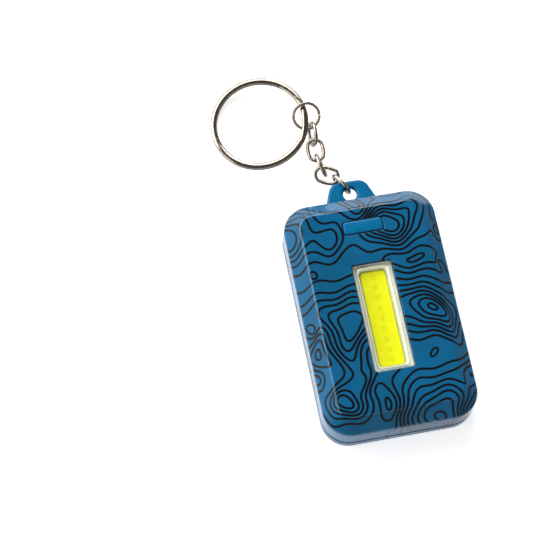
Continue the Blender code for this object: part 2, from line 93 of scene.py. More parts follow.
# %% Node helpers
def put(tree, kind, *values, named=None, out=0, **settings):
    """Add a node and return one output. Sockets are linked and plain values are set, in input order."""
    node = tree.nodes.new(kind)
    for key, value in settings.items():
        setattr(node, key, value)
    pairs = list(zip(node.inputs, values))
    pairs += [(node.inputs[key], value) for key, value in (named or {}).items()]
    for socket, value in pairs:
        if isinstance(value, bpy.types.NodeSocket):
            tree.links.new(value, socket)
        elif value is not None:
            socket.default_value = value
    return node.outputs[out]


def after(kind, *values, **settings):
    """Add a node to the tree that the first linked value comes from."""
    tree = next(value.id_data for value in values if isinstance(value, bpy.types.NodeSocket))
    return put(tree, kind, *values, **settings)


def maths(operation, *values):
    return after("ShaderNodeMath", *values, operation=operation)


def vectors(operation, *values, out=0):
    return after("ShaderNodeVectorMath", *values, operation=operation, out=out)


def xyz(*values):
    return after("ShaderNodeCombineXYZ", *values)


plus, minus, times, over = (partial(maths, name) for name in ("ADD", "SUBTRACT", "MULTIPLY", "DIVIDE"))
times_plus = partial(maths, "MULTIPLY_ADD")


def spread(value, low, high, new_low=0.0, new_high=1.0, shape="LINEAR"):
    """Stretch value from one range to another, and stop at the ends."""
    return after("ShaderNodeMapRange", value, low, high, new_low, new_high, interpolation_type=shape)


smooth = partial(spread, shape="SMOOTHSTEP")


def display(red, green, blue):
    """Display colour, 0 to 255, as the linear values that Blender uses."""
    def linear(value):
        value /= 255
        return value / 12.92 if value <= 0.04045 else ((value + 0.055) / 1.055) ** 2.4
    return (linear(red), linear(green), linear(blue), 1.0)


def blend(share, *ends):
    """Mix two colours, linked ones or display colours: the first at share 0, the second at share 1."""
    first, second = (display(*end) if isinstance(end, tuple) else end for end in ends)
    return after("ShaderNodeMix", share, *[None] * 5, first, second, out=2, data_type="RGBA")


def link(value, socket):
    socket.id_data.links.new(value, socket)


def new_group(name, outputs, **inputs):
    """A node group with named sockets, for shaders unless it gives out Geometry. An input is described by
    its default number or by its kind in words. Returns the group, and its inputs and outputs from inside."""
    makes_shape = outputs == ["Geometry"]
    tree = bpy.data.node_groups.new(name, "GeometryNodeTree" if makes_shape else "ShaderNodeTree")
    for label, value in inputs.items():
        in_words = isinstance(value, str)
        kind = value if in_words else "Int" if isinstance(value, int) else "Float"
        socket = tree.interface.new_socket(name=label, in_out="INPUT", socket_type="NodeSocket" + kind)
        if not in_words:
            socket.default_value = value
    for label in outputs:
        kind = "NodeSocketGeometry" if makes_shape else "NodeSocketFloat"
        tree.interface.new_socket(name=label, in_out="OUTPUT", socket_type=kind)
    given = tuple(tree.nodes.new("NodeGroupInput").outputs)[:len(inputs)]
    return tree, given, tree.nodes.new("NodeGroupOutput").inputs


def use_group(tree, group, **named):
    """Place a shader group in a tree, and return its outputs."""
    return put(tree, "ShaderNodeGroup", named=named, node_tree=group).node.outputs


print("node helpers ready")

# %% [markdown]
# ## Effects that several finishes share
# Moulded plastic, printed film and nickel all show the same small faults of handling: edges that catch
# light because they are rubbed, a fine grain left by the mould, faint smears from fingers and hairline
# scratches. Each effect is one shader node group with named inputs, placed in every material with its
# own values, and gives out only masks, roughness values and heights. Copies of the same nodes in each
# material would drift apart as soon as one of them is tuned.

# %% Shared shader groups
def object_place(tree):
    """Object coordinates in millimetres."""
    return vectors("MULTIPLY", put(tree, "ShaderNodeTexCoord", out="Object"), (1000, 1000, 1000))


def noise(place, scale, detail=3.0, rough=0.55):
    return after("ShaderNodeTexNoise", place, named={"Scale": scale, "Detail": detail, "Roughness": rough})


def make_rubbed_edges():
    """Finds the outer edges within Radius, broken up by a patchy noise."""
    tree, (radius, patches), wanted = new_group("rubbed edges", ["Edge"], Radius=0.0002, Patches=0.6)
    rounded = put(tree, "ShaderNodeBevel", radius, samples=4)
    agree = vectors("DOT_PRODUCT", rounded, put(tree, "ShaderNodeNewGeometry", out="Normal"), out="Value")
    turn = smooth(agree, 0.995, 0.86)
    patches = spread(noise(object_place(tree), patches), 0.38, 0.62, 0.15, 1.0)
    link(times(turn, patches), wanted["Edge"])
    return tree


def make_mould_grain():
    """A fine grain: a height for bump, and a roughness between Low and High."""
    tree, (scale, low, high), wanted = new_group(
        "mould grain", ["Height", "Roughness"], Scale=6.0, Low=0.3, High=0.45)
    grain = noise(object_place(tree), scale, 4.0, 0.6)
    link(grain, wanted["Height"])
    link(spread(grain, 0.3, 0.7, low, high), wanted["Roughness"])
    return tree


def make_finger_marks():
    """Slow smears of higher roughness, as fingers leave on a gloss surface."""
    tree, (scale, low, high), wanted = new_group(
        "finger marks", ["Roughness"], Scale=0.12, Low=0.06, High=0.2)
    place = object_place(tree)
    smears = smooth(noise(place, scale, 4.0, 0.6), 0.42, 0.66)
    stretched = after("ShaderNodeMapping", place, (0, 0, 0), (0.3, 0.2, 0.9), (0.35, 1.6, 0.8))
    streaks = spread(noise(stretched, 0.9, 5.0, 0.65), 0.35, 0.65, 0.4, 1.0)
    link(spread(times(smears, streaks), 0.0, 1.0, low, high), wanted["Roughness"])
    return tree


def make_hairlines():
    """Sparse straight scratches in three directions."""
    tree, (density,), wanted = new_group("hairlines", ["Scratch"], Density=1.0)
    place = object_place(tree)
    total = 0.0
    for turn, seed in ((0.4, 0.0), (1.5, 31.0), (2.6, 77.0)):
        laid = after("ShaderNodeMapping", place, (seed,) * 3, (0.2 * turn, 0.1, turn), (0.12, 5.0, 1.0))
        lines = noise(laid, density, 1.0, 0.3)
        ridge = spread(maths("ABSOLUTE", minus(lines, 0.66)), 0.0, 0.012, 1.0, 0.0)
        total = maths("MAXIMUM", ridge, total)
    link(total, wanted["Scratch"])
    return tree


RUBBED_EDGES = make_rubbed_edges()
MOULD_GRAIN = make_mould_grain()
FINGER_MARKS = make_finger_marks()
HAIRLINES = make_hairlines()
print("shared effects:", ", ".join(group.name for group in bpy.data.node_groups))

# %% [markdown]
# ## The printed contour lines
# The shell wears a map-like print: black lines of one width that bunch up on slopes and open out on
# flats. An image would do it, but a relief that the shader works out itself stays sharp at any distance.
# It is a sum of soft hills given in a list, and a line runs wherever the height is a whole number. The
# height left over, divided by the steepness, is a distance in millimetres, and this keeps every line
# equally wide. The print wraps the sides as a soft skin would: below the face, the place that is looked
# up moves outwards by as much as the wall has gone down.

# %% The relief and its contour lines
HILLS = [  # centre x, y, half-width, half-length (mm), turn (degrees), height (lines)
    (-20.0, 22.0, 8.2, 6.4, 0, 5.6), (-8.4, 19.2, 3.2, 4.6, -24, 2.9), (6.2, 20.6, 6.6, 4.9, 6, 6.4),
    (13.5, 24.5, 4.6, 4.6, 25, 1.6), (-1.2, 28.4, 2.2, 5.4, 14, -2.0), (9.5, 32.0, 5.0, 2.8, 0, 2.6),
    (18.8, 17.6, 1.5, 2.6, 10, 1.9), (17.8, 9.2, 1.3, 1.7, 0, 1.7), (-14.2, 10.2, 0.9, 0.9, 0, 0.75),
    (11.0, 10.6, 8.0, 2.4, -4, -1.7), (0.0, -1.8, 30.0, 7.0, -2, 5.2),
    (-9.6, -9.6, 3.7, 9.2, -6, 3.3), (12.8, -4.0, 3.0, 8.2, 36, 3.5), (-17.2, -6.6, 2.4, 5.2, -8, -2.2),
    (9.6, -13.6, 1.4, 1.0, 14, 1.25), (-18.6, -2.2, 1.4, 1.7, 0, 1.2), (-20.5, -14.5, 3.4, 3.6, 0, 3.0),
    (-14.2, -22.6, 4.6, 3.8, -12, 5.1), (-8.2, -18.0, 3.8, 2.6, 25, 2.0), (9.0, -29.5, 9.6, 9.8, -8, 7.8),
    (20.0, -19.6, 4.2, 4.2, 15, 3.8), (17.2, -29.5, 3.6, 3.4, 0, -2.0), (-3.4, -25.5, 2.8, 6.4, 10, -2.6),
]
SEA_LEVEL = 0.35
WOBBLE = 0.55            # how far the lines wander, mm
SLOPE_STRETCH = 0.4      # what the sloped border adds to the flat plan, per mm of height
FOOT = 0.3               # at or below this height, on the back, the print isn't moved outwards


def make_relief():
    """Height at a point, which is moved a little first so that no hill is a plain oval."""
    tree, (point,), wanted = new_group("relief", ["Height"], Point="Vector")
    split = put(tree, "ShaderNodeSeparateXYZ", point).node.outputs

    def wander(along, across, across_rate, along_rate, depth, start):
        slow = times(maths("SINE", times(along, along_rate)), depth)
        wave = maths("SINE", plus(times_plus(across, across_rate, slow), start))
        return times_plus(wave, WOBBLE, along)

    moved = xyz(wander(split["X"], split["Y"], 0.62, 0.5, 0.4, 0.8),
                wander(split["Y"], split["X"], 0.7, 0.45, 0.5, 2.1))
    height = SEA_LEVEL
    for x, y, half_width, half_length, turn, top in HILLS:
        local = after("ShaderNodeMapping", moved, (x, y, 0), (0, 0, math.radians(turn)),
                      (half_width, half_length, 1), vector_type="TEXTURE")
        bell = maths("POWER", 1 / math.e, vectors("DOT_PRODUCT", local, local, out="Value"))
        height = times_plus(bell, top, height)
    link(height, wanted["Height"])
    return tree


def make_contour_print(relief):
    """A mask of lines of one width, in millimetres, where the relief crosses whole numbers."""
    tree, (width,), wanted = new_group("contour print", ["Line"], Width=0.45)
    place = object_place(tree)
    flat = vectors("MULTIPLY", place, (1, 1, 0))
    core = [SHELL_HIGH[0] - CORNER_R, SHELL_HIGH[1] - CORNER_R, 0.0]
    nearest = vectors("MINIMUM", vectors("MAXIMUM", flat, [-v for v in core]), core)
    outward = vectors("NORMALIZE", vectors("SUBTRACT", flat, nearest))
    up = put(tree, "ShaderNodeSeparateXYZ", place, out="Z")
    down = minus(BODY_T, up)
    on_slope = times(maths("MINIMUM", down, SLOPE_H), SLOPE_STRETCH)
    on_wall = maths("MAXIMUM", minus(down, SLOPE_H), 0.0)
    reach = times(plus(on_slope, on_wall), maths("GREATER_THAN", up, FOOT))
    looked_up = vectors("MULTIPLY_ADD", outward, xyz(reach, reach, 0.0), flat)
    step, soft = 0.05, 0.05
    here, east, north = (use_group(tree, relief, Point=vectors("ADD", looked_up, move))["Height"]
                         for move in ((0, 0, 0), (step, 0, 0), (0, step, 0)))
    steep = over(vectors("LENGTH", xyz(minus(east, here), minus(north, here)), out="Value"), step)
    away = over(maths("PINGPONG", here, 0.5), maths("MAXIMUM", steep, 0.0001))
    half = times(width, 0.5)
    link(smooth(away, plus(half, soft), minus(half, soft)), wanted["Line"])
    return tree


CONTOUR_PRINT = make_contour_print(make_relief())
print("contour print:", len(HILLS), "hills,", len(CONTOUR_PRINT.nodes), "nodes")

# %% [markdown]
# ## Finishes
# Each finish is one material. Its constant values sit directly on the Principled shader, and what
# varies over the surface comes from the shared groups.

# %% Material helpers
def new_finish(name, **plain):
    """A material with a Principled shader, and its plain values set on the shader's own sockets."""
    material = bpy.data.materials.new(name)
    material.use_nodes = True
    tree = material.node_tree
    shader = tree.nodes["Principled BSDF"]
    for key, value in plain.items():
        shader.inputs[key.replace("_", " ")].default_value = value
    return material, tree, shader.inputs


def feed(inputs, colour, roughness=None, height=None, depth=0.01):
    """Connect what varies. depth is the bump's height in millimetres."""
    link(colour, inputs["Base Color"])
    if roughness is not None:
        link(roughness, inputs["Roughness"])
    if height is not None:
        bump = {"Strength": 1.0, "Distance": depth * MM, "Height": height}
        link(put(height.id_data, "ShaderNodeBump", named=bump, out="Normal"), inputs["Normal"])


def patchy(place, colour, deeper, scale, detail=3.0):
    """A colour that drifts slowly towards a deeper one."""
    return blend(spread(noise(place, scale, detail), 0.35, 0.65), colour, deeper)


def rub(tree, tone, worn, share, radius, patches):
    """Bring in the worn colour along rubbed edges."""
    edge = use_group(tree, RUBBED_EDGES, Radius=radius, Patches=patches)["Edge"]
    return blend(times(edge, share), tone, worn)


def handled(tree, scale, low, high, density, depth):
    """Roughness with finger marks and hairlines. Also returns the hairlines' mask."""
    marks = use_group(tree, FINGER_MARKS, Scale=scale, Low=low, High=high)["Roughness"]
    scratch = use_group(tree, HAIRLINES, Density=density)["Scratch"]
    return times_plus(scratch, depth, marks), scratch


# %% [markdown]
# ### Printed shell
# Ink under a clear coat on moulded plastic. The blue isn't quite even, the black lines are laid on it,
# and rubbed edges turn a touch lighter. The coat is smooth with an orange-peel ripple that is too
# shallow to see except in reflections.

# %% Printed shell
def make_printed_shell():
    material, tree, inputs = new_finish("printed shell", IOR=1.5)
    place = object_place(tree)
    ink = patchy(place, (4, 91, 131), (3, 102, 149), 0.07, 2.0)
    speckle = spread(noise(place, 9.0, 2.0), 0.3, 0.7, 0.0, 0.35)
    ink = rub(tree, blend(speckle, ink, (4, 81, 118)), (70, 120, 150), 0.35, 0.00025, 0.5)
    line = use_group(tree, CONTOUR_PRINT, Width=0.6)["Line"]
    roughness, _ = handled(tree, 0.11, 0.07, 0.15, 0.5, 0.12)
    feed(inputs, blend(line, ink, (7, 8, 12)), roughness, noise(place, 1.1, 2.0), 0.004)
    return material


PRINTED_SHELL = make_printed_shell()

# %% [markdown]
# ### Moulded plastics
# Blue for the frame, lug and button, white for the frame round the light, and black for the switch. They
# differ only in colour, gloss and grain, so one maker serves all three.

# %% Moulded plastics
def make_moulded(name, colour, deeper, worn, low, high, grain_scale, grain_depth, shine=0.5):
    material, tree, inputs = new_finish(name, IOR=1.5, Specular_IOR_Level=shine)
    tone = rub(tree, patchy(object_place(tree), colour, deeper, 0.25), worn, 0.4, 0.0002, 0.8)
    grain = use_group(tree, MOULD_GRAIN, Scale=grain_scale, Low=low, High=high)
    feed(inputs, tone, grain["Roughness"], grain["Height"], grain_depth)
    return material


BLUE_PLASTIC = make_moulded("blue plastic", (0, 112, 160), (0, 104, 150), (30, 110, 150),
                            0.2, 0.3, 7.0, 0.006, shine=0.2)
WHITE_PLASTIC = make_moulded("white plastic", (243, 242, 236), (236, 233, 222), (245, 244, 238),
                             0.3, 0.5, 5.0, 0.006)
BLACK_PLASTIC = make_moulded("black plastic", (26, 26, 28), (18, 18, 20), (70, 70, 72), 0.4, 0.6, 8.0, 0.01)
print("plastics:", BLUE_PLASTIC.name, WHITE_PLASTIC.name, BLACK_PLASTIC.name)

# %% [markdown]
# ### Clear window
# The window is clear acrylic. A path tracer lets little lamp light through glass, so a Light Path test
# gives lamps a see-through stand-in. What the eye sees is still glass.

# %% Clear window
def make_clear_window():
    material, tree, inputs = new_finish("clear window", IOR=1.49, Transmission_Weight=1.0)
    place = object_place(tree)
    tint = blend(noise(place, 0.4), (250, 252, 250), (240, 246, 244))
    roughness, _ = handled(tree, 0.25, 0.02, 0.1, 0.6, 0.1)
    feed(inputs, tint, roughness, noise(place, 0.9, 2.0), 0.003)
    clear = put(tree, "ShaderNodeBsdfTransparent", display(245, 250, 248))
    lamps = put(tree, "ShaderNodeLightPath", out="Is Shadow Ray")
    mixed = put(tree, "ShaderNodeMixShader", lamps, tree.nodes["Principled BSDF"].outputs[0], clear)
    link(mixed, tree.nodes["Material Output"].inputs["Surface"])
    return material


CLEAR_WINDOW = make_clear_window()

# %% [markdown]
# ### Phosphor
# The yellow strip is silicone loaded with phosphor powder. It is soft to look at, evenly bright, and a
# little deeper in colour where a chip lies below. The powder gives it a fine speckle.

# %% Phosphor
def make_phosphor(name, colour, deeper):
    material, tree, inputs = new_finish(name, IOR=1.41, Specular_IOR_Level=0.1, Subsurface_Weight=0.15,
                                        Subsurface_Scale=0.0006)
    place = object_place(tree)
    powder = spread(noise(place, 6.0, 4.0, 0.7), 0.3, 0.7)
    cloud = spread(noise(place, 0.5, 2.0), 0.35, 0.65, 0.0, 0.6)
    tone = blend(maths("MAXIMUM", times(powder, 0.5), cloud), colour, deeper)
    grain = use_group(tree, MOULD_GRAIN, Scale=5.0, Low=0.35, High=0.55)
    feed(inputs, tone, grain["Roughness"], grain["Height"], 0.012)
    return material


PHOSPHOR = make_phosphor("phosphor", (233, 225, 0), (225, 215, 0))
CHIP_PHOSPHOR = make_phosphor("phosphor over a chip", (222, 211, 0), (214, 201, 0))

# %% [markdown]
# ### Metals
# Nickel plate for the chain, rings and screws, a brushed can for the cells, and spring brass for the
# contacts. Metal shows its finish in reflections, so most of the work is in the roughness and a shallow
# bump. Rubbed edges are brighter than the faces.

# %% Metals
def make_metal(name, colour, warm, low, high, brush, depth):
    material, tree, inputs = new_finish(name, Metallic=1.0)
    place = object_place(tree)
    tone = rub(tree, patchy(place, colour, warm, 0.6), (214, 208, 200), 0.5, 0.00012, 0.9)
    roughness, scratch = handled(tree, 0.5, low, high, brush, 0.15)
    feed(inputs, tone, roughness, times_plus(scratch, -0.6, noise(place, 2.2)), depth)
    return material


NICKEL = make_metal("nickel plate", (160, 152, 143), (147, 136, 122), 0.08, 0.16, 0.35, 0.003)
CELL_STEEL = make_metal("cell steel", (200, 200, 198), (190, 188, 184), 0.22, 0.36, 1.4, 0.006)
SPRING_BRASS = make_metal("spring brass", (214, 180, 104), (196, 158, 84), 0.2, 0.34, 1.2, 0.006)

# %% [markdown]
# ### Circuit boards
# The boards are glass fibre under solder mask: green for the main board, white under the light strip so
# that no light is lost. Copper tracks stand a little proud below the mask, and a weave shows faintly.

# %% Circuit boards
def make_board(name, colour, track_colour):
    material, tree, inputs = new_finish(name, IOR=1.5)
    place = object_place(tree)
    rows = {"Scale": 0.35, "Mortar Size": 0.06, "Mortar Smooth": 0.2, "Brick Width": 1.3, "Row Height": 0.45}
    tracks = put(tree, "ShaderNodeTexBrick", place, named=rows, out="Fac")
    weave = put(tree, "ShaderNodeTexWave", place, named={"Scale": 1.4, "Distortion": 0.4}, out="Fac")
    roughness = spread(weave, 0.0, 1.0, 0.3, 0.42)
    feed(inputs, blend(tracks, colour, track_colour), roughness, times_plus(weave, 0.15, tracks), 0.03)
    return material


GREEN_BOARD = make_board("green solder mask", (22, 82, 50), (34, 108, 64))
WHITE_BOARD = make_board("white solder mask", (232, 230, 222), (216, 210, 194))
print("finishes:", len(bpy.data.materials), "materials")

# %% [markdown]
# ## Tools for shaping
# Most of the shell is a rounded rectangle that changes size as it rises, so one lofting helper makes
# the covers, the window, the button and the frames from a short list of sections. Path corners are
# rounded before lofting, which puts the soft edges exactly where they belong. A bevel over the whole
# mesh doesn't.

# %% Shaping tools
CORNER_STEPS = 18


def filleted(points, radii, steps=7):
    """An open path whose inner corners are rounded; radii has one value per point."""
    path = []
    for index, (point, radius) in enumerate(zip(points, radii)):
        if radius == 0 or index in (0, len(points) - 1):
            path.append(tuple(point))
            continue
        corner = Vector(point)
        back = (Vector(points[index - 1]) - corner).normalized()
        ahead = (Vector(points[index + 1]) - corner).normalized()
        half = back.angle(ahead) / 2
        centre = corner + (back + ahead).normalized() * (radius / math.sin(half))
        start = (corner + back * (radius / math.tan(half)) - centre).normalized()
        end = (corner + ahead * (radius / math.tan(half)) - centre).normalized()
        path += [tuple(centre + start.slerp(end, step / steps) * radius) for step in range(steps + 1)]
    return path


def outline(width, length, radius, steps):
    """Counter-clockwise points of a rectangle with round corners."""
    points = []
    for corner, (side_x, side_y) in enumerate(((1, 1), (-1, 1), (-1, -1), (1, -1))):
        for step in range(steps + 1):
            angle = math.radians(90 * (corner + step / steps))
            points.append((side_x * (width / 2 - radius) + radius * math.cos(angle),
                           side_y * (length / 2 - radius) + radius * math.sin(angle)))
    return points


def add_piece(name, bm, material=None):
    """A bmesh in millimetres becomes an object in metres, with its normals outwards."""
    bmesh.ops.remove_doubles(bm, verts=bm.verts, dist=1e-5)
    bmesh.ops.recalc_face_normals(bm, faces=bm.faces)
    bmesh.ops.scale(bm, vec=(MM, MM, MM), verts=bm.verts)
    mesh = bpy.data.meshes.new(name)
    bm.to_mesh(mesh)
    bm.free()
    obj = bpy.data.objects.new(name, mesh)
    bpy.context.scene.collection.objects.link(obj)
    if material:
        mesh.materials.append(material)
    return obj


def lofted(name, sections, material=None, centre=(0.0, 0.0), ring=False, steps=CORNER_STEPS):
    """A closed body through (width, length, radius, z) sections; a ring joins its last to its first."""
    bm = bmesh.new()
    loops = []
    for width, length, radius, z in sections:
        flat = outline(width, length, radius, steps)
        loops.append([bm.verts.new((centre[0] + x, centre[1] + y, z)) for x, y in flat])
    for low, high in list(zip(loops, loops[1:])) + ([(loops[-1], loops[0])] if ring else []):
        for i in range(len(low)):
            j = (i + 1) % len(low)
            bm.faces.new((low[i], low[j], high[j], high[i]))
    if not ring:
        bm.faces.new(list(reversed(loops[0])))
        bm.faces.new(loops[-1])
    return add_piece(name, bm, material)


def pegs(name, places, radius, z_low, z_high, sides=32):
    """Upright round pegs at several places, in one object."""
    bm = bmesh.new()
    for x, y in places:
        bmesh.ops.create_cone(bm, cap_ends=True, segments=sides, radius1=radius, radius2=radius,
                              depth=z_high - z_low, matrix=Matrix.Translation((x, y, (z_low + z_high) / 2)))
    return add_piece(name, bm)


def settle(obj):
    """Turn an object and its modifiers into a plain mesh."""
    bpy.context.view_layer.update()
    obj.data = bpy.data.meshes.new_from_object(obj.evaluated_get(bpy.context.evaluated_depsgraph_get()))
    obj.modifiers.clear()
    return obj


def cut(obj, *tools, join=None):
    """Join a shape if there is one, take the tool shapes away in order, then throw them all away."""
    steps = ([("UNION", join)] if join else []) + [("DIFFERENCE", tool) for tool in tools]
    for operation, tool in steps:
        modifier = obj.modifiers.new(operation.lower(), "BOOLEAN")
        modifier.operation, modifier.object, modifier.solver = operation, tool, "EXACT"
    settle(obj)
    for _, tool in steps:
        bpy.data.objects.remove(tool)
    return obj


def shade(obj, angle=32.0):
    """Smooth shading that keeps flats flat: sharp edges stay sharp and big faces lead."""
    obj.data.shade_smooth()
    obj.data.set_sharp_from_angle(angle=math.radians(angle))
    modifier = obj.modifiers.new("flats lead", "WEIGHTED_NORMAL")
    modifier.keep_sharp = True
    return settle(obj)


def mount(obj, body, slot, *nodes):
    """The piece rides its body and stands for CAD nodes; slot is not used."""
    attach(obj, body)
    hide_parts(*nodes)
    size = [round(v / MM, 2) for v in obj.dimensions]
    print(f"{obj.name}: {len(obj.data.polygons)} faces, {size} mm, stands for {', '.join(nodes)}")
    return obj


# %% [markdown]
# ## Front cover
# The front of the shell is a shallow box with a wide sloped border, a long opening for the light and a
# small one for the button. It is lofted from the inner rim up to the ceiling and back down the outside
# as one closed wall. The openings are cut with flared tools, so that their rims come out rounded, as
# moulded plastic is.

# %% Front cover
def shell_loft(name, path, material):
    """Loft the body's outline through a path of (how far inwards, z) points."""
    sections = [(BODY_W - 2 * inset, BODY_L - 2 * inset, max(CORNER_R - inset, 0.3), z) for inset, z in path]
    return lofted(name, sections, material)


def flared_tool(name, width, length, radius, y, rim):
    """A cutter that widens at the outer face in a quarter round of size rim."""
    sections = [(width, length, radius, BODY_T - CEILING - 2)]
    for step in range(6):
        angle = math.radians(90 * step / 5)
        grow, rise = rim * (1 - math.cos(angle)), rim * math.sin(angle)
        sections.append((width + 2 * grow, length + 2 * grow, radius + grow, BODY_T - rim + rise))
    sections.append((width + 2 * rim, length + 2 * rim, radius + rim, BODY_T + 1))
    return lofted(name, sections, centre=(0, y), steps=8)


def make_front_cover():
    slope_z, ceiling_z, flat_inset = BODY_T - SLOPE_H, BODY_T - CEILING, 6.3
    outside = filleted([(0, RIM_Z), (0, slope_z), (SLOPE_W, BODY_T), (flat_inset, BODY_T)], [0, 1.0, 1.4, 0])
    inside = filleted([(flat_inset, ceiling_z), (SLOPE_W + 0.7, ceiling_z), (WALL, slope_z - 0.6),
                       (WALL, RIM_Z)], [0, 0.8, 0.8, 0], 4)
    cover = shell_loft("front_shell", inside + outside, PRINTED_SHELL)
    bosses = pegs("bosses", SCREW_PLACES, 2.1, RIM_Z + 0.3, ceiling_z + 0.4)
    holes = pegs("boss holes", SCREW_PLACES, 0.92, RIM_Z - 1, 9.6)
    window = flared_tool("window opening", WINDOW_W, WINDOW_L, 0.6, WINDOW_Y, 0.18)
    button = flared_tool("button opening", BUTTON_W, BUTTON_L, 0.8, BUTTON_Y, 0.2)
    notch = lofted("lug notch", [(16.6, 6, 0.2, z) for z in (RIM_Z - 1, DECK_Z)], centre=(0, BODY_L / 2 - 1),
                   steps=2)
    return shade(cut(cover, holes, window, button, notch, join=bosses))


mount(make_front_cover(), "body", "printed_shell", "front_cover")

# %% [markdown]
# ## Rear cover
# The back is a shallow tray with a rounded foot. Four screws go in from below, each in a round pocket
# deep enough to keep its head off the table.

# %% Rear cover
def make_rear_cover():
    boss_rise, flat_inset = 0.4, 6.0
    rim_z = box_mm("rear_cover")[1][2] - boss_rise
    outside = filleted([(flat_inset, 0), (0, 0), (0, rim_z)], [0, 1.1, 0], 8)
    inside = filleted([(WALL, rim_z), (WALL, FLOOR), (flat_inset, FLOOR)], [0, 0.5, 0], 3)
    cover = shell_loft("rear_shell", outside + inside, PRINTED_SHELL)
    bosses = pegs("bosses", SCREW_PLACES, 2.4, FLOOR - 0.4, rim_z + boss_rise)
    rings = [(3.7 + 2 * grow, 3.7 + 2 * grow, 1.84 + grow, z)
             for grow, z in ((0.3, -1), (0.25, 0), (0.07, 0.07), (0, 0.25), (0, FLOOR + 0.2))]
    pockets = [lofted("pocket", rings, centre=place, steps=9) for place in SCREW_PLACES]
    shanks = pegs("shank holes", SCREW_PLACES, 1.05, -1, rim_z + 2)
    return shade(cut(cover, *pockets, shanks, join=bosses))


mount(make_rear_cover(), "body", "printed_shell", "rear_cover")

# %% [markdown]
# ## Middle frame and lug
# One blue moulding sits between the covers. Its rim shows as a thin line all round, and its lug sticks
# out at the top for the chain. The lug is soft to the touch: its edges and the rim of its hole are
# rounded with a bevel before it joins the rim.

# %% Middle frame
(_, _, FRAME_Z), (_, LUG_TIP_Y, RIBS_TOP) = box_mm("mid_frame")
LUG_HOLE_Y, LUG_HOLE_R, LUG_ROOT, LUG_END = 32.95, 1.7, 7.9, 4.3


def make_lug():
    base_y = BODY_L / 2 - 2.4
    side = filleted([(0, base_y), (LUG_ROOT, base_y), (LUG_END, LUG_TIP_Y), (-LUG_END, LUG_TIP_Y),
                     (-LUG_ROOT, base_y), (0, base_y)], [0, 0, 3.0, 3.0, 0, 0], 12)[1:-1]
    bm = bmesh.new()
    face = bm.faces.new([bm.verts.new((x, y, FRAME_Z + 0.05)) for x, y in side])
    grown = bmesh.ops.extrude_face_region(bm, geom=[face])
    lifted = [item for item in grown["geom"] if isinstance(item, bmesh.types.BMVert)]
    bmesh.ops.translate(bm, vec=(0, 0, 1.8), verts=lifted)
    lug = add_piece("lug", bm, BLUE_PLASTIC)
    hole = pegs("lug hole", [(0, LUG_HOLE_Y)], LUG_HOLE_R, FRAME_Z - 2, FRAME_Z + 4, 40)
    cut(lug, hole)
    soft = lug.modifiers.new("soft edges", "BEVEL")
    soft.width, soft.segments, soft.limit_method, soft.angle_limit = 0.7 * MM, 6, "ANGLE", math.radians(40)
    return settle(lug)


def make_mid_frame():
    flange_top, top = FRAME_Z + 0.5, RIBS_TOP - 0.2
    inner, outer, step = WALL + 1.6, 0.25, WALL + 0.4
    path = [(inner, DECK_Z), (inner, FRAME_Z), (0.35, FRAME_Z), (outer, FRAME_Z + 0.08),
            (outer, flange_top - 0.08), (0.35, flange_top), (step, flange_top), (step, top), (inner, top),
            (inner, DECK_Z + 0.8)]
    piece = shell_loft("mid_frame_and_lug", path, BLUE_PLASTIC)
    lug = make_lug()
    wells = pegs("boss wells", SCREW_PLACES, 2.6, DECK_Z - 1, DECK_Z + 3.8)
    return shade(cut(piece, wells, join=lug), 38)


mount(make_mid_frame(), "body", "blue_plastic", "mid_frame")

# %% [markdown]
# ## Push button
# A plain bar, barely proud of the face, with a crowned top that the thumb finds and a hidden flange that
# keeps it in. The crown is a few closely spaced sections rather than a bevel, so the highlight rolls over
# it without a break. The window and the light strip get their soft tops from the same helper.

# %% Push button
def soft_top(width, length, radius, least, z, steps):
    """Sections that close in by (inset, drop) steps up to height z."""
    return [(width - 2 * inset, length - 2 * inset, max(radius - 0.5 * inset, least), z - drop)
            for inset, drop in steps]


def make_push_button():
    wide, long, ledge = BUTTON_W - PLAY, BUTTON_L - PLAY, BODY_T - CEILING - 0.1
    crown = ((0, 0.34), (0.02, 0.24), (0.07, 0.16), (0.15, 0.1), (0.27, 0.055), (0.45, 0.025), (0.75, 0.008),
             (1.1, 0))
    flange = (11.6, 4.8, 0.8)
    sections = [(*flange, ledge - 0.4), (*flange, ledge), (wide, long, 0.7, ledge)]
    sections += soft_top(wide, long, 0.7, 0.2, box_mm("push_button")[1][2], crown)
    return shade(lofted("button_bar", sections, BLUE_PLASTIC, (0, BUTTON_Y), steps=10), 45)


mount(make_push_button(), "button", "blue_plastic", "push_button")

# %% [markdown]
# ## Window, reflector and light strip
# Under the clear window a white frame slopes in to the yellow strip. The window is a thin tray turned
# upside down, with a flange that the cover holds from inside. Its sides and flange are painted white, so
# that no dark gap shows round the light.

# %% Window, reflector and light strip
AT_WINDOW = (0, WINDOW_Y)
PHOSPHOR_LOW, PHOSPHOR_TOP = (corner[2] for corner in box_mm("cob_phosphor"))


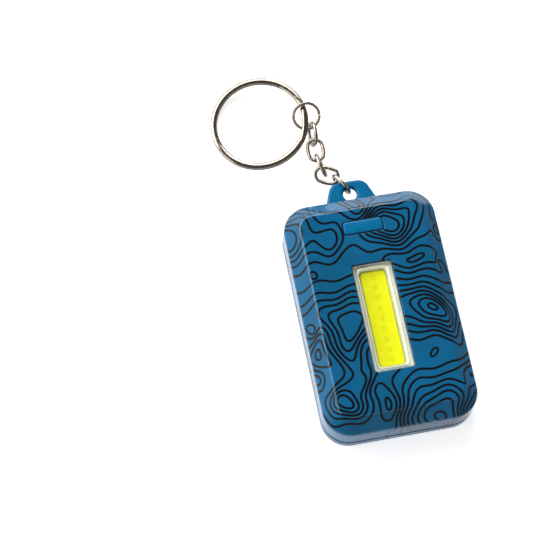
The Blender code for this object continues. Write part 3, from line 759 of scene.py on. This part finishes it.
def make_lens():
    low, top = (corner[2] for corner in box_mm("lens_window"))
    wide, long, flange_top = WINDOW_W - PLAY, WINDOW_L - PLAY, low + 0.45
    hollow, flange = (8.2, 26.2, 1.2), (12.0, 29.7, 1.0)
    sections = [(7.9, 25.9, 1.0, top - 0.65), (*hollow, top - 0.8), (*hollow, low), (*flange, low),
                (*flange, flange_top), (wide, long, 0.5, flange_top)]
    sections += soft_top(wide, long, 0.5, 0.5, top, ((0, 0.2), (0.04, 0.1), (0.1, 0.04), (0.2, 0)))
    lens = lofted("clear_window", sections, CLEAR_WINDOW, AT_WINDOW, steps=8)
    lens.data.materials.append(WHITE_PLASTIC)
    for face in lens.data.polygons:
        x, y, z = (v / MM for v in face.center)
        outside = abs(x) > hollow[0] / 2 + 0.15 or abs(y - WINDOW_Y) > hollow[1] / 2 + 0.15
        face.material_index = int(outside and z < top - 0.18)
    return shade(lens)


def make_reflector():
    low, high = (corner[2] for corner in box_mm("window_reflector"))
    outer, round_over = (8.0, 26.0, 1.2), 0.08
    sections = [(*outer, low), (*outer, high - round_over), (7.92, 25.92, 1.2, high),
                (7.38, 25.38, 1.2, high), (7.3, 25.3, 1.2, high - round_over), (6.7, 24.9, 1.1, low)]
    return shade(lofted("white_frame", sections, WHITE_PLASTIC, AT_WINDOW, ring=True, steps=10))


def make_light_strip():
    wide, long, chip_rise = 6.3, 24.5, 0.06
    shoulder = ((0, 0.28), (0.03, 0.16), (0.09, 0.08), (0.2, 0.03), (0.4, 0.008), (0.7, 0))
    sections = [(wide, long, 1.0, PHOSPHOR_LOW)]
    sections += soft_top(wide, long, 1.0, 0.4, PHOSPHOR_TOP - chip_rise, shoulder)
    return shade(lofted("phosphor_strip", sections, PHOSPHOR, AT_WINDOW, steps=10), 60)


mount(make_lens(), "body", "clear_window", "lens_window")
mount(make_reflector(), "body", "white_plastic", "window_reflector")
mount(make_light_strip(), "body", "phosphor", "cob_phosphor")

# %% [markdown]
# ## Chips below the phosphor
# The strip is a row of small light chips under one skin, and the skin rises a little over each. They
# repeat at an even pitch, so Geometry Nodes place one low dome along a line.

# %% Chips below the phosphor
def tree_modifier(name, tree, **values):
    """A mesh made by a Geometry Nodes tree; inputs are set by identifier before it is evaluated."""
    obj = bpy.data.objects.new(name, bpy.data.meshes.new(name))
    bpy.context.scene.collection.objects.link(obj)
    modifier = obj.modifiers.new(tree.name, "NODES")
    modifier.node_group = tree
    for item in tree.interface.items_tree:
        if item.in_out == "INPUT" and item.name.lower() in values:
            modifier[item.identifier] = values[item.name.lower()]
    settle(obj)
    seamless = bmesh.new()
    seamless.from_mesh(obj.data)
    bmesh.ops.remove_doubles(seamless, verts=seamless.verts, dist=1e-8)
    bmesh.ops.recalc_face_normals(seamless, faces=seamless.faces)
    seamless.to_mesh(obj.data)
    seamless.free()
    return obj


def end_tree(wanted, shape, finish):
    """End a tree with real geometry and its material."""
    tree = shape.id_data
    real = put(tree, "GeometryNodeRealizeInstances", shape)
    link(put(tree, "GeometryNodeSetMaterial", real, named={"Material": finish}), wanted["Geometry"])
    return tree


def make_chip_row_tree():
    """A row of low domes along Y."""
    tree, (count, pitch, dome, rise, finish), wanted = new_group(
        "chip row", ["Geometry"], Count=9, Pitch=0.0027, Dome=0.0006, Rise=0.06, Finish="Material")
    start = times(minus(count, 1.0), times(pitch, -0.5))
    even = {"Count": count, "Offset": xyz(0.0, pitch), "Start Location": xyz(0.0, start)}
    row = put(tree, "GeometryNodeMeshLine", named=even)
    bump = put(tree, "GeometryNodeMeshUVSphere", 24, 12, dome)
    squash = xyz(1.0, 1.25, rise)
    placed = put(tree, "GeometryNodeInstanceOnPoints", row, named={"Instance": bump, "Scale": squash})
    return end_tree(wanted, placed, finish)


chips = tree_modifier("chip_bumps", make_chip_row_tree(), count=9, pitch=2.7 * MM, dome=0.62 * MM, rise=0.1,
                      finish=CHIP_PHOSPHOR)
chips.data.transform(Matrix.Translation((0, WINDOW_Y * MM, (PHOSPHOR_TOP - 0.065) * MM)))
shade(chips, 80)
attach(chips, "body")
print("chip bumps:", len(chips.data.polygons), "faces")

# %% [markdown]
# ## Screws
# Four pan-head screws hold the covers together. One is turned from a profile and gets its cross recess
# by a cut. Geometry Nodes then stand a copy at each corner of a rectangle, each turned to its own angle,
# because no two screws stop at the same place.

# %% Screws
def make_one_screw():
    head_z, tip_z, shank, head = 0.25, 9.0, 0.8, 1.6
    head_top = head_z + 0.9
    profile = filleted([(0, head_z), (head - 0.3, head_z), (head, head_z + 0.4), (head, head_top),
                        (shank, head_top)], [0, 0.5, 0.12, 0.06, 0], 4)
    threads, thread_pitch, thread_depth = 15, 0.42, 0.12
    for turn in range(threads):
        z = head_z + 1.2 + turn * thread_pitch
        profile += [(shank - thread_depth, z), (shank, z + 0.16), (shank - thread_depth, z + 0.32)]
    profile += [(0.25, tip_z - 0.2), (0, tip_z)]
    bm = bmesh.new()
    verts = [bm.verts.new((r, 0, z)) for r, z in profile]
    for first, second in zip(verts, verts[1:]):
        bm.edges.new((first, second))
    bmesh.ops.spin(bm, geom=bm.verts[:] + bm.edges[:], axis=(0, 0, 1), cent=(0, 0, 0), steps=36,
                   angle=math.tau)
    screw = add_piece("one screw", bm, NICKEL)
    for turn in (0, 90):
        bm = bmesh.new()
        blade = Matrix.Rotation(math.radians(turn), 4, "Z") @ Matrix.Diagonal((1.9, 0.44, 1.5, 1))
        bmesh.ops.create_cube(bm, size=1.0, matrix=blade)
        cut(screw, add_piece("cross", bm))
    return shade(screw, 40)


def make_corner_tree():
    """Copies of one object at the corners of a rectangle, each turned by its own angle."""
    tree, (piece, across, along, seed, finish), wanted = new_group(
        "one at each corner", ["Geometry"], Piece="Object", Across=0.0256, Along=0.0468, Seed=3,
        Finish="Material")
    corners = put(tree, "GeometryNodeMeshGrid", across, along, 2, 2)
    copied = put(tree, "GeometryNodeObjectInfo", piece, out="Geometry")
    angle = put(tree, "FunctionNodeRandomValue", named={"Seed": seed}, data_type="FLOAT", out=1)
    angle.node.inputs[3].default_value = math.tau
    upright = {"Instance": copied, "Rotation": xyz(0.0, 0.0, angle)}
    placed = put(tree, "GeometryNodeInstanceOnPoints", corners, named=upright)
    return end_tree(wanted, placed, finish)


one_screw = make_one_screw()
screws = tree_modifier("screws", make_corner_tree(), piece=one_screw, across=2 * SCREW_X * MM,
                       along=2 * SCREW_Y * MM, seed=3, finish=NICKEL)
bpy.data.objects.remove(one_screw)
mount(shade(screws, 40), "body", "nickel_steel", "screw_1", "screw_2", "screw_3", "screw_4")

# %% [markdown]
# ## Chain links and jump ring
# Each link is a piece of round wire bent into an oval, its two ends butted together on one side. A
# round jump ring is the same thing with equal length and width. One Geometry Nodes tree bends them all:
# it draws an almost closed arc, pulls its two halves apart to make it oval and runs a wire along it.
# How each link lies is read from its CAD node: its points spread most along its length and least
# across its flat side.

# %% Reading how a link lies
def lie_of(node):
    """Centre, directions and sizes of a CAD node along its own widest, next and thinnest way."""
    points = np.array([v.co for v in frame["nodes"][node].data.vertices])
    middle = points.mean(0)
    _, _, ways = np.linalg.svd(points - middle, full_matrices=False)
    reach = (points - middle) @ ways.T
    half_way = (reach.max(0) + reach.min(0)) / 2
    lean = -np.sign(reach.mean(0) - half_way)
    centre = middle + half_way @ ways
    ways[1] *= lean[1] or 1.0
    return Vector(centre), [Vector(way) for way in ways], reach.max(0) - reach.min(0)


def lay_wire(obj, centre, long_way, flat_way, body, node):
    """Move a mesh made round the origin to its place, X along long_way and Y along flat_way, and mount it."""
    turn = Matrix((long_way, flat_way, long_way.cross(flat_way))).transposed().to_4x4()
    obj.data.transform(Matrix.Translation(centre) @ turn)
    mount(shade(obj, 50), body, "nickel_steel", node)


def outward_from(joint, centre, flat):
    """The way from a joint to a ring's centre, laid into the ring's own plane."""
    away = centre - Vector(joint["pos_m"])
    return (away - flat * away.dot(flat)).normalized()


print("link 5 lies at", [round(v / MM, 2) for v in lie_of("chain_link_5")[0]], "mm")

# %% Bending wire into links
def make_link_tree():
    """An oval of round wire in the XY plane, long side along X, with a butt joint at -Y."""
    tree, (length, width, wire, gap, finish), wanted = new_group(
        "bent wire link", ["Geometry"], Length=0.0068, Width=0.0048, Wire=0.00095, Gap=0.00015,
        Finish="Material")
    radius = times(minus(width, wire), 0.5)
    pull = times(minus(length, width), 0.5)
    soft = 0.001
    stretch = plus(over(pull, soft), 1.0)
    back_off = over(over(times(gap, 0.5), stretch), radius)
    bend = {"Resolution": 96, "Radius": radius, "Start Angle": plus(back_off, -math.pi / 2),
            "Sweep Angle": times_plus(back_off, -2.0, math.tau)}
    arc = put(tree, "GeometryNodeCurveArc", mode="RADIUS", named=bend)
    x = put(tree, "ShaderNodeSeparateXYZ", put(tree, "GeometryNodeInputPosition"))
    share = put(tree, "ShaderNodeClamp", over(x, soft), -1.0, 1.0)
    oval = put(tree, "GeometryNodeSetPosition", arc, named={"Offset": xyz(times(share, pull), 0.0, 0.0)})
    section = put(tree, "GeometryNodeCurvePrimitiveCircle", 20, named={"Radius": times(wire, 0.5)},
                  mode="RADIUS")
    bent = put(tree, "GeometryNodeCurveToMesh", oval, section, named={"Fill Caps": True})
    return end_tree(wanted, bent, finish)


LINK_TREE = make_link_tree()
LINK_WIRE, JUMP_WIRE, BUTT_GAP = 0.93, 0.8, 0.15
for number in range(5, 0, -1):
    node = f"chain_link_{number}"
    centre, (long_way, flat_way, _), sizes = lie_of(node)
    wire_link = tree_modifier(f"wire_link_{number}", LINK_TREE, length=sizes[0], width=sizes[1],
                              wire=LINK_WIRE * MM, gap=BUTT_GAP * MM, finish=NICKEL)
    lay_wire(wire_link, centre, long_way, flat_way, f"link_{number}", node)

# %% Jump ring
flip = next(joint for joint in frame["joints"] if joint["name"] == "split_ring_flip")
centre, (_, _, flat), sizes = lie_of("jump_ring")
open_way = outward_from(flip, centre, flat)
jump = tree_modifier("jump_ring_wire", LINK_TREE, length=sizes[0], width=sizes[0], wire=JUMP_WIRE * MM,
                     gap=BUTT_GAP * MM, finish=NICKEL)
lay_wire(jump, centre, flat.cross(open_way), -open_way, "jump_ring", "jump_ring")

# %% [markdown]
# ## Split ring
# A split ring is flat spring wire wound twice round, with a step where the upper turn starts. The tree
# winds a straight line of points: the angle grows evenly along it and the height changes only within the
# step. The section is an oval, as wire keeps when it is rolled flat, so light runs softly along each turn.

# %% Split ring
def make_split_ring_tree():
    tree, (radius, pitch, band, coil, step, start, finish), wanted = new_group(
        "wound split ring", ["Geometry"], Radius=0.0117, Pitch=0.0008, Band=0.0016, Coil=0.00072, Step=0.7,
        Start=2.88, Finish="Material")
    line = put(tree, "GeometryNodeCurvePrimitiveLine")
    points = put(tree, "GeometryNodeResampleCurve", line, named={"Count": 260})
    along = put(tree, "GeometryNodeSplineParameter", out="Factor")
    angle = plus(times(along, minus(2 * math.tau, step)), times(step, 0.5))
    into = over(minus(angle, math.tau), step)
    rise = smooth(into, -0.5, 0.5, -0.5, 0.5)
    turned = plus(angle, start)
    x, y = (times(maths(name, turned), radius) for name in ("COSINE", "SINE"))
    place = xyz(x, y, times(rise, pitch))
    wound = put(tree, "GeometryNodeSetPosition", points, named={"Position": place})
    upright = put(tree, "GeometryNodeSetCurveNormal", wound)
    upright.node.mode = "Z_UP"
    circle = put(tree, "GeometryNodeCurvePrimitiveCircle", 28, named={"Radius": 0.5}, mode="RADIUS")
    squash = xyz(band, coil, 1.0)
    section = put(tree, "GeometryNodeTransform", circle, named={"Scale": squash})
    wire = put(tree, "GeometryNodeCurveToMesh", upright, section, named={"Fill Caps": True})
    return end_tree(wanted, wire, finish)


centre, (_, _, flat), _ = lie_of("split_ring")
flat = flat if flat.z > 0 else -flat
outward = outward_from(flip, centre, flat)
ring = tree_modifier("split_ring_coils", make_split_ring_tree(), radius=11.69 * MM, pitch=0.8 * MM,
                     band=1.6 * MM, coil=0.72 * MM, step=0.7, start=math.radians(165), finish=NICKEL)
lay_wire(ring, centre, outward, flat.cross(outward), "split_ring", "split_ring")

# %% [markdown]
# ## Pieces kept from the frame
# The boards, switch, cells and contacts are already right in shape and mostly out of sight, so they stay
# as packed and only get their finishes.

# %% Finishes for the kept pieces
KEPT = {
    WHITE_BOARD: ["cob_board"],
    GREEN_BOARD: ["main_board"],
    BLACK_PLASTIC: ["driver_chip", "resistor_1", "resistor_2", "switch_body", "switch_stem"],
    NICKEL: ["switch_lid"],
    CELL_STEEL: ["coin_cell_1", "coin_cell_2"],
    SPRING_BRASS: ["contact_positive", "contact_negative", "cell_bridge"],
}
for finish, names in KEPT.items():
    for name in names:
        obj = frame["nodes"][name]
        obj.data.materials.clear()
        obj.data.materials.append(finish)
print("kept pieces with finishes:", sum(len(names) for names in KEPT.values()))

# %% [markdown]
# ## Table, light and camera
# A white table fills the view. It glows a little more towards the eye, so that it drops out as plain
# background and still throws its brightness onto the glossy sides. Of three soft lights the main one
# stands behind and to the left. The sky is dim, which keeps the flat face free of glare, and pale along
# the horizon, for the sloped border and the metal to mirror. A grey card on the right, seen only in
# reflections, hides that pale band where the right border would wash out.

# %% Table and card
def flat_sheet(name, size, material, place):
    """A square sheet in its place, on stage rather than part of the flashlight."""
    bm = bmesh.new()
    bmesh.ops.create_grid(bm, x_segments=1, y_segments=1, size=size)
    sheet = add_piece(name, bm, material)
    sheet.data.transform(place)
    return sheet


def make_table_finish():
    """Almost white, with a glow that is stronger where the camera sees the table directly."""
    base_glow, eye_glow = 0.4, 0.25
    material, tree, inputs = new_finish("white table", IOR=1.4, Emission_Color=(1, 1, 1, 1),
                                        Emission_Strength=base_glow)
    tone = blend(noise(object_place(tree), 0.03, 2.0), (243, 243, 243), (245, 244, 243))
    grain = use_group(tree, MOULD_GRAIN, Scale=1.5, Low=0.8, High=0.95)
    feed(inputs, tone, grain["Roughness"], grain["Height"], 0.01)
    to_the_eye = put(tree, "ShaderNodeLightPath", out="Is Camera Ray")
    link(times_plus(to_the_eye, eye_glow, base_glow), inputs["Emission Strength"])
    return material


flat_sheet("table", 1500, make_table_finish(), Matrix.Translation((0, 0, -0.02 * MM)))
card_grey, tree, inputs = new_finish("grey card", Roughness=0.9)
feed(inputs, blend(noise(object_place(tree), 0.2), (112, 112, 114), (120, 120, 122)))
standing = Matrix.Diagonal((1, 300, 60, 1)) @ Matrix.Rotation(math.radians(90), 4, "Y")
card = flat_sheet("grey_card", 0.5, card_grey, Matrix.Translation((50 * MM, 0, 30 * MM)) @ standing)
card.visible_camera = card.visible_diffuse = card.visible_shadow = card.visible_transmission = False
print("on stage: table and card")

# %% Lights and surroundings
def add_light(name, direction, distance, width, height, power):
    """A soft light of width by height that looks at the middle of the flashlight."""
    light = bpy.data.lights.new(name, "AREA")
    light.shape, light.size, light.size_y, light.energy = "RECTANGLE", width, height, power
    obj = bpy.data.objects.new(name, light)
    way = Vector(direction).normalized()
    obj.location = way * distance
    obj.rotation_euler = way.to_track_quat("Z", "Y").to_euler()
    bpy.context.scene.collection.objects.link(obj)


add_light("main softbox", (-0.3, 0.8, 0.78), 1.0, 1.3, 0.6, 12.0)
add_light("left softbox", (-0.95, 0.1, 0.55), 0.9, 0.8, 0.3, 3.0)
add_light("front fill", (0.25, -0.75, 0.85), 0.9, 0.9, 0.3, 0.6)

world = bpy.data.worlds.new("studio")
bpy.context.scene.world = world
world.use_nodes = True
background = world.node_tree.nodes["Background"].inputs
background["Color"].default_value = (1, 1, 1, 1)
direction = put(world.node_tree, "ShaderNodeTexCoord", out="Generated")
glow = smooth(after("ShaderNodeSeparateXYZ", direction, out="Z"), 0.1, 0.36, 1.0, 0.0)
link(spread(glow, 0.0, 1.0, 0.16, 1.1), background["Strength"])
bpy.context.scene.view_settings.view_transform = "Standard"

# %% [markdown]
# ### Camera
# The view is from above with a long lens, turned a little to the left and rolled, so that the
# flashlight leans in the frame and its chain reaches up to the left.

# %% Camera
AZIMUTH, ELEVATION, ROLL = -18.72, 69.38, 8.0
AIM = Vector((-24.86, 16.07, 9.45)) * MM
DISTANCE, LENS = 0.52708, 145.96

turn, rise, roll = (math.radians(angle) for angle in (AZIMUTH, ELEVATION, ROLL))
back = Vector((math.sin(turn) * math.cos(rise), -math.cos(turn) * math.cos(rise), math.sin(rise)))
right = Vector((math.cos(turn), math.sin(turn), 0))
up = back.cross(right)
camera_right = right * math.cos(roll) + up * math.sin(roll)
camera_up = up * math.cos(roll) - right * math.sin(roll)
camera = bpy.data.objects.new("camera", bpy.data.cameras.new("camera"))
camera.data.lens, camera.data.sensor_width = LENS, 36
camera.data.clip_start, camera.data.clip_end = 0.01, 10
camera.matrix_world = (Matrix.Translation(AIM + back * DISTANCE)
                       @ Matrix((camera_right, camera_up, back)).transposed().to_4x4())
bpy.context.scene.collection.objects.link(camera)
bpy.context.scene.camera = camera
print("camera at", [round(v, 3) for v in camera.location])
